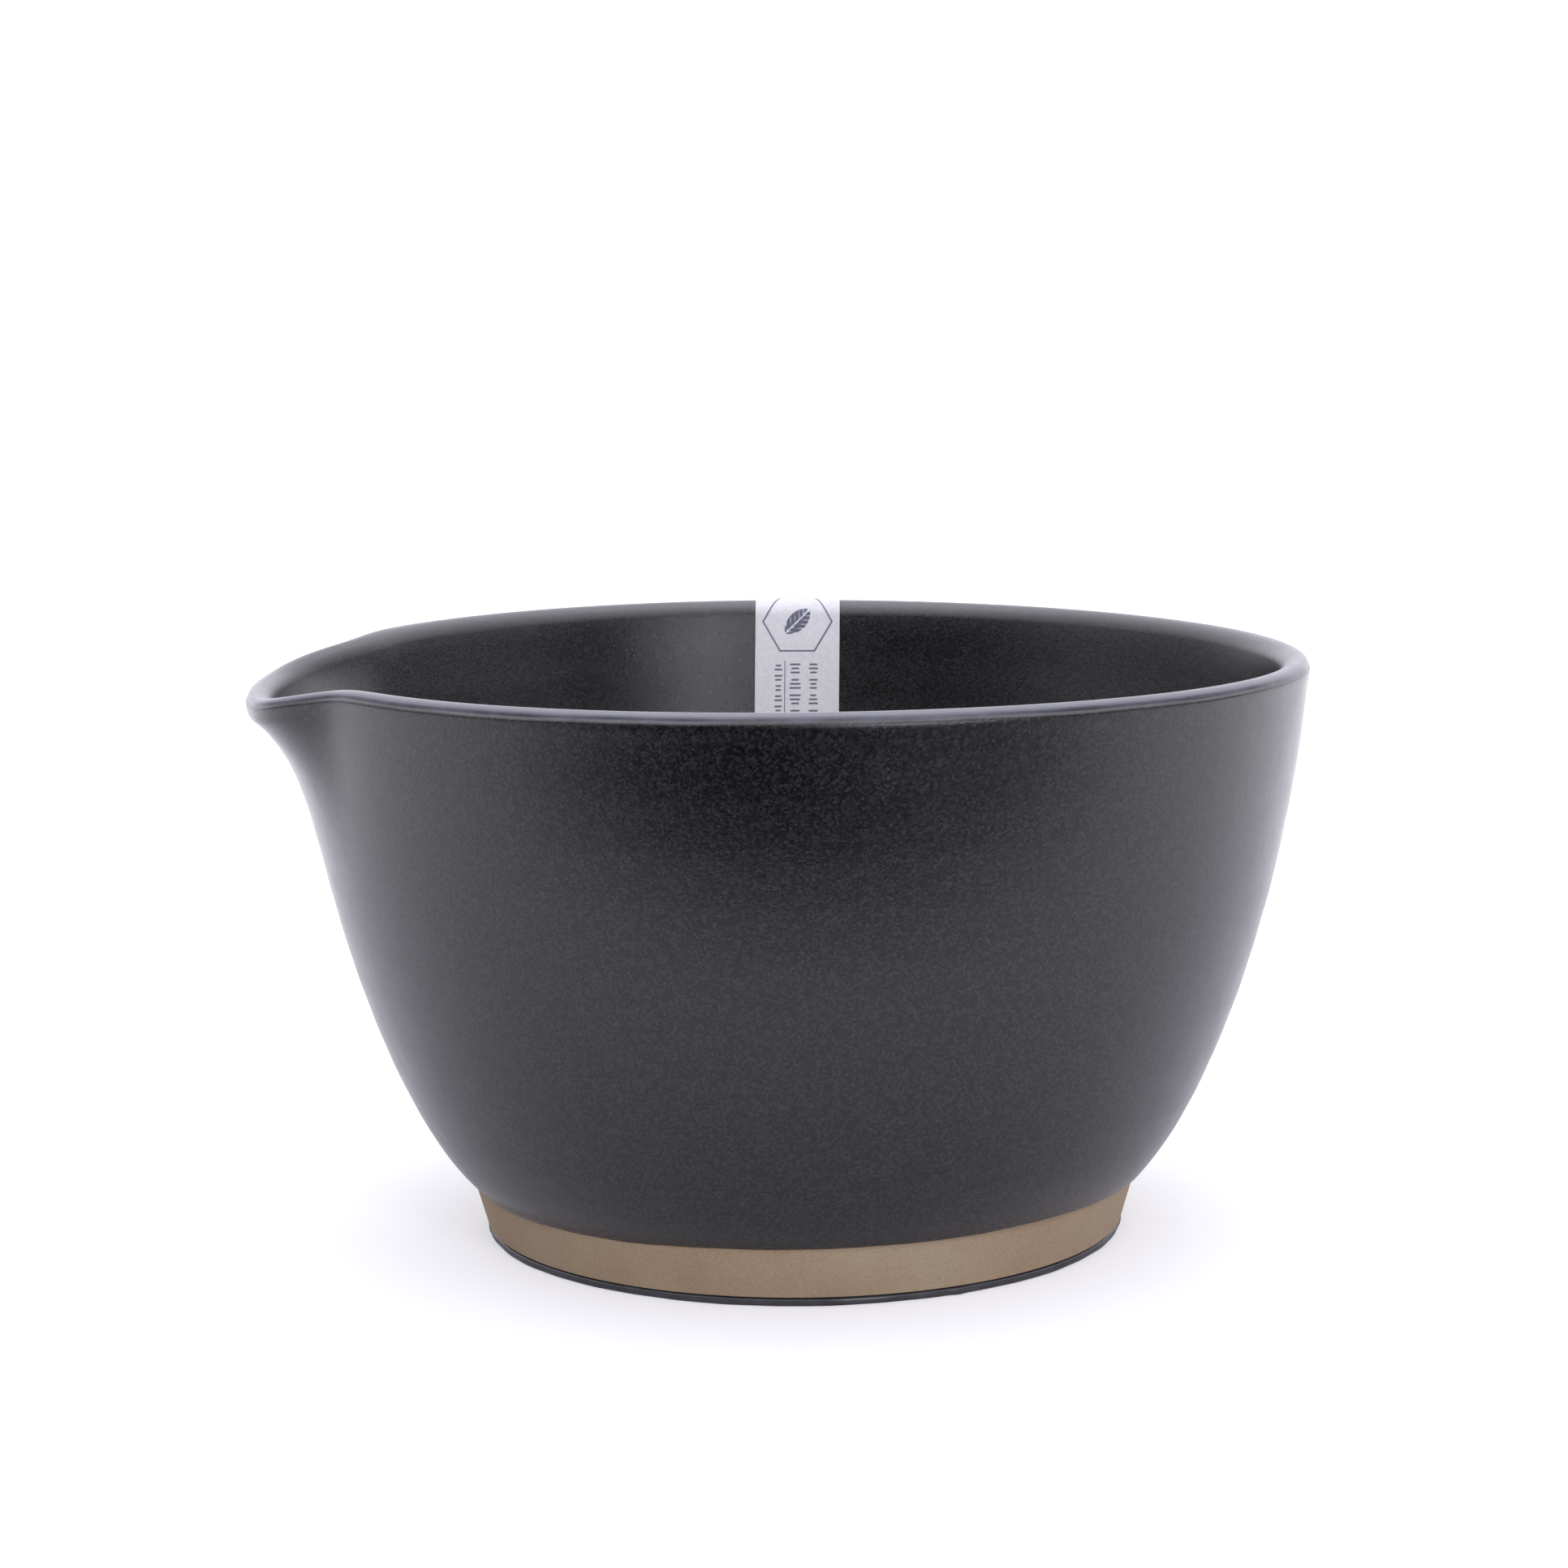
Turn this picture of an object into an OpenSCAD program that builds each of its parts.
// Stoneware grinding bowl with a pouring lip, standing on a soft non-slip ring,
// with a folded paper label over the rim.
// The bowl turns about Z and stands on z = 0. The pouring lip points to -X, the label is at +Y.

/* [Rim] */
// Radius of the crest of the rim, away from the pouring lip
rim_r = 92.5; // [78:0.5:112]
// Height of the crest of the rim above the table
bowl_h = 108.5; // [88:0.5:135]
// Thickness of the rounded rim
rim_t = 5.7; // [4.4:0.1:7.4]
// Rounding of the rim's outer edge; the rest of the thickness is the softer rounding inside
rim_out = 2.1; // [1.6:0.1:2.4]
// How far the rim's bead stands out from the wall below it
bead_out = 0.2; // [0:0.1:1.5]
// Height over which the bead fades into the wall
bead_h = 2; // [2:0.5:8]
// Degrees by which the thrown rim leans from level
rim_lean = 0.74; // [0:0.02:1.5]
// Direction round the bowl in which the leaning rim is highest
rim_lean_dir = 248; // [0:1:359]
// How far the fired rim rises, and falls, twice round the bowl
rim_warp = 0.42; // [0:0.02:1]
// Direction round the bowl of one of the rim's two rises
rim_warp_dir = 108; // [0:1:359]

/* [Pouring lip] */
// How far the rim is pulled outward at the lip
lip_push = 7.7; // [0:0.1:12]
// How far the rim dips at the lip
lip_dip = 4.7; // [0:0.1:9]
// Half of the lip's width, in degrees round the rim
lip_half_angle = 22.4; // [12:0.2:28]
// Degrees by which the lip is turned from the -X axis
lip_turn = 3.5; // [-10:0.5:10]
// Height of wall that is drawn out below the lip
lip_drop = 45; // [25:1:60]

/* [Wall] */
// Angle of the outer wall just above the foot, from level
low_angle = 46.6; // [42:0.2:60]
// Angle of the outer wall just below the rim, from level
high_angle = 84.9; // [74:0.1:88]
// Fullness of the wall low down, as a share of the wall's height
low_pull = 0.19; // [0.12:0.01:0.3]
// Fullness of the wall high up, as a share of the wall's height
high_pull = 0.45; // [0.35:0.01:0.55]
// How far the curve of the inner wall is drawn out past the neck, low down
inside_wall_out = 8; // [2:0.5:10]
// How far the curve of the inside bottom is drawn out past the neck
inside_floor_out = 4; // [-4:0.5:6]

/* [Foot] */
// Radius of the foot at its lower edge
foot_r = 60.3; // [50:0.2:68]
// Height of the bare clay foot band
foot_h = 8.7; // [6:0.1:13]
// How much the foot widens from its lower edge to the neck
foot_flare = 2.4; // [0:0.1:3]
// How far the wall stands out above the neck
neck_out = 1.7; // [1.2:0.1:5]
// Height of the curve from the neck to the wall
neck_h = 2; // [1.5:0.1:4]
// Width of the foot's standing ring
foot_w = 9; // [7.5:0.1:14]
// Depth of the hollow under the foot
hollow_depth = 5; // [3:0.1:6]
// Thickness of clay between the hollow and the inside bottom
floor_t = 8.8; // [6:0.1:13]
// Rounding of the foot's lower edge
foot_edge = 0.4; // [0.2:0.1:1.2]

/* [Grinding ridges] */
// Depth of the combed grooves
comb_depth = 0.6; // [0.2:0.1:1.2]
// How far below the crest of the rim the combed grooves start
comb_top = 34; // [20:1:50]
// Radius of the bottom's smooth centre
comb_centre_r = 9; // [4:1:20]

/* [Non-slip ring] */
// Thickness of the ring below the foot
ring_t = 1.4; // [1:0.1:3]
// How far the ring is set back from the foot's outer and inner edges
ring_inset = 0.3; // [0.2:0.1:1.2]
// Width of the tongue that keys the ring into the foot
tongue_w = 3; // [2:0.1:4]
// Height of the tongue
tongue_h = 1.4; // [0.8:0.1:2]
// Clearance round the tongue in its groove
tongue_gap = 0.15; // [0.05:0.05:0.4]

/* [Paper label] */
// Width of the paper strip
label_w = 17.5; // [10:0.5:25]
// Length of the strip that hangs inside the bowl
label_in = 62; // [30:1:75]
// Length of the strip that hangs outside the bowl
label_out = 44; // [20:1:70]
// Thickness of the paper
paper_t = 0.3; // [0.2:0.05:0.6]
// Gap between the paper and the glaze
paper_gap = 0.15; // [0.05:0.05:0.4]
// Sideways drift of the strip over its length, low inside to low outside
label_drift = 2; // [-5:0.5:5]

/* [Hidden] */

COLUMNS = 132;          // columns round the bowl, an even number
WALL_STEPS = 13;        // rows up the outer wall
RIM_STEPS = 7;          // rows over the rounded rim
INNER_STEPS = 14;       // rows from the rim to the inside bottom
LIP_SHARPNESS = 6.9;    // how squarely the pull ends at the lip's sides
DIP_SHARPNESS = 4;      // how squarely the dip ends at the lip's sides
DROP_POWER = 3.6;       // how fast the pull dies away down the wall

foot_bottom = ring_t;
foot_top = foot_bottom + foot_h;
neck_r = foot_r + foot_flare;
wall_foot = [neck_r + neck_out, foot_top + neck_h];
hollow_z = foot_bottom + hollow_depth;
hollow_r = foot_r - foot_w;
floor_z = hollow_z + floor_t;

rim_in = rim_t - rim_out;
rim_out_c = [rim_r, bowl_h - rim_out];
rim_in_c = [rim_r, bowl_h - rim_in];
inner_guide = [wall_foot[0] + inside_wall_out, floor_z];
inner_angle = atan2(rim_in_c[1] - floor_z, rim_r - rim_in - inner_guide[0]);
rim_from = high_angle - 90;
rim_to = 90 + inner_angle;

ring_out = foot_r - ring_inset;
ring_in = hollow_r + ring_inset;
ring_edge = ring_t * 0.35;
tongue_r = (ring_out + ring_in) / 2;

function unit(a) = [cos(a), sin(a)];
function bezier(p, q, r, s, t) =
    pow(1 - t, 3) * p + 3 * pow(1 - t, 2) * t * q + 3 * (1 - t) * t * t * r + t * t * t * s;
function clip01(v) = min(1, max(0, v));

// ---- the half section, as [radius, height] ----

// A point on the rounded rim at an angle from level, counted from the outside
function rim_point(a) = a < 90 ? rim_out_c + rim_out * unit(a) : rim_in_c + rim_in * unit(a);

// The outer wall: a cubic curve from the neck to the rim, plus the bead under the rim
wall_end = rim_point(rim_from) - [bead_out, 0];
wall_h = wall_end[1] - wall_foot[1];
function bead(z) = bead_out * exp(-pow((wall_end[1] - z) / bead_h, 2));
function wall_curve(t) = bezier(
    wall_foot,
    wall_foot + low_pull * wall_h * unit(low_angle),
    wall_end - high_pull * wall_h * unit(high_angle),
    wall_end, t);
function wall_point(t) = wall_curve(t) + [bead(wall_curve(t)[1]), 0];

// The inner wall: a cubic curve from the rim to the middle of the inside bottom
inner_start = rim_point(rim_to);
function inner_point(t) = bezier(
    inner_start, inner_guide, [wall_foot[0] + inside_floor_out, floor_z], [0, floor_z], t);

// The way into the clay from the inner wall
function inner_normal(t) = let(d = inner_point(t + 0.01) - inner_point(t - 0.01))
    [-d[1], d[0]] / norm(d);

// Depth of the comb's cut: every other column, between the smooth band and the smooth centre
function comb_cut(column, p) =
    column % 2 == 1 && p[1] < bowl_h - comb_top && p[0] > comb_centre_r ? comb_depth : 0;

groove_half = tongue_w / 2 + tongue_gap;
groove_z = foot_bottom + tongue_h + tongue_gap;

foot_section = [
    [hollow_r - hollow_depth / 4, hollow_z],
    [hollow_r, foot_bottom],
    [tongue_r - groove_half, foot_bottom],
    [tongue_r - groove_half, groove_z],
    [tongue_r + groove_half, groove_z],
    [tongue_r + groove_half, foot_bottom],
    for (a = [0, 45, 90]) [foot_r - foot_edge, foot_bottom + foot_edge] + foot_edge * unit(a - 90),
    [neck_r, foot_top],
    [neck_r + neck_out * 0.3, foot_top + neck_h * 0.55]
];

function half_section(column) = concat(
    foot_section,
    [for (i = [0:WALL_STEPS - 1]) wall_point(i / WALL_STEPS)],
    [for (i = [0:RIM_STEPS - 1]) rim_point(rim_from + (rim_to - rim_from) * i / RIM_STEPS)],
    [for (i = [0:INNER_STEPS - 1]) let(t = i / INNER_STEPS, p = inner_point(t))
        p + comb_cut(column, p) * inner_normal(t)]);

// ---- from the half section to the bowl ----

// How much of the lip's pull reaches a height: all of it on the rounded rim, none below the drop
function drawn(z) = pow(clip01((z - (bowl_h - lip_drop)) / (lip_drop - 2 * rim_out)), DROP_POWER);

// Degrees from the middle of the lip
function from_lip(a) = abs((a - 180 - lip_turn + 900) % 360 - 180);
function side_fade(a, sharpness) = exp(-pow(from_lip(a) / lip_half_angle, sharpness));

// How far the rim stands above level at an angle round the bowl, leant and warped
function unlevel(a, r) =
    tan(rim_lean) * r * cos(a - rim_lean_dir) + rim_warp * cos(2 * (a - rim_warp_dir));

// A point of the section at an angle round the bowl, pulled at the lip and lifted with the rim
function place(a, p) = let(
    r = p[0] + lip_push * side_fade(a, LIP_SHARPNESS) * drawn(p[1]),
    dip = lip_dip * side_fade(a, DIP_SHARPNESS) * drawn(p[1]),
    lift = unlevel(a, r) * clip01((p[1] - foot_top) / (bowl_h - foot_top)))
    [r * cos(a), r * sin(a), p[1] - dip + lift];

module bowl() {
    rows = len(half_section(0));
    points = concat(
        [for (c = [0:COLUMNS - 1]) each [for (p = half_section(c)) place(360 * c / COLUMNS, p)]],
        [[0, 0, hollow_z], [0, 0, floor_z]]);
    under = COLUMNS * rows;
    faces = [for (c = [0:COLUMNS - 1]) let(a = c * rows, b = (c + 1) % COLUMNS * rows) each concat(
        [[under, a, b]],
        [for (i = [0:rows - 2]) each [[a + i, a + i + 1, b + i], [a + i + 1, b + i + 1, b + i]]],
        [[a + rows - 1, under + 1, b + rows - 1]])];
    color("#3c3a41") polyhedron(points, faces);
}

// A flat ring with rounded edges, and a tongue that stands up into the foot's groove
module anti_slip_ring() {
    width = ring_out - ring_in;
    color("#4a4a4f") rotate_extrude($fn = 180) {
        translate([ring_in + ring_edge, 0]) square([width - 2 * ring_edge, ring_t]);
        translate([ring_in, ring_edge]) square([width, ring_t - 2 * ring_edge]);
        for (r = [ring_in + ring_edge, ring_out - ring_edge], z = [ring_edge, ring_t - ring_edge])
            translate([r, z]) circle(ring_edge, $fn = 32);
        translate([tongue_r - tongue_w / 2, ring_t / 2]) square([tongue_w, ring_t / 2 + tongue_h]);
    }
}

// ---- the label ----

// Share of the inner and outer curves that the two ends of the strip reach
LABEL_STEPS = 14;
function reach(curve_h, length) = length / curve_h;
inner_t_end = [for (t = [0:0.01:0.9]) if (norm(inner_point(t) - inner_start) < label_in) t];
outer_t_end = [for (t = [0:0.01:0.9]) if (norm(wall_point(1 - t) - wall_point(1)) < label_out) t];
label_path = concat(
    [for (i = [LABEL_STEPS:-1:1]) inner_point(max(inner_t_end) * i / LABEL_STEPS)],
    [for (i = [0:RIM_STEPS * 2]) rim_point(rim_to - (rim_to - rim_from) * i / (RIM_STEPS * 2))],
    [for (i = [1:LABEL_STEPS]) wall_point(1 - max(outer_t_end) * i / LABEL_STEPS)]);

// The way out of the clay at a point of the path
function path_normal(i) = let(
    last = len(label_path) - 1,
    d = label_path[min(i + 1, last)] - label_path[max(i - 1, 0)])
    [-d[1], d[0]] / norm(d);

// A point of the strip: across it by x, and off the glaze by off
function label_point(i, x, off) = let(
    p = label_path[i] + off * path_normal(i),
    drift = label_drift * (i / (len(label_path) - 1) - 0.5),
    a = 90 - asin((x + drift) / p[0]))
    place(a, p);

module paper_label() {
    across = 4;
    rows = len(label_path);
    ring = 2 * (across + 1);
    points = [for (i = [0:rows - 1]) each concat(
        [for (k = [0:across]) label_point(i, label_w * (k / across - 0.5), paper_gap)],
        [for (k = [across:-1:0]) label_point(i, label_w * (k / across - 0.5), paper_gap + paper_t)])];
    faces = concat(
        [[for (k = [0:ring - 1]) k]],
        [for (i = [0:rows - 2], k = [0:ring - 1]) let(a = i * ring, b = a + ring, n = (k + 1) % ring)
            each [[a + k, b + k, a + n], [a + n, b + k, b + n]]],
        [[for (k = [ring - 1:-1:0]) (rows - 1) * ring + k]]);
    color("#e8e7ee") polyhedron(points, faces);
}

bowl();
anti_slip_ring();
paper_label();
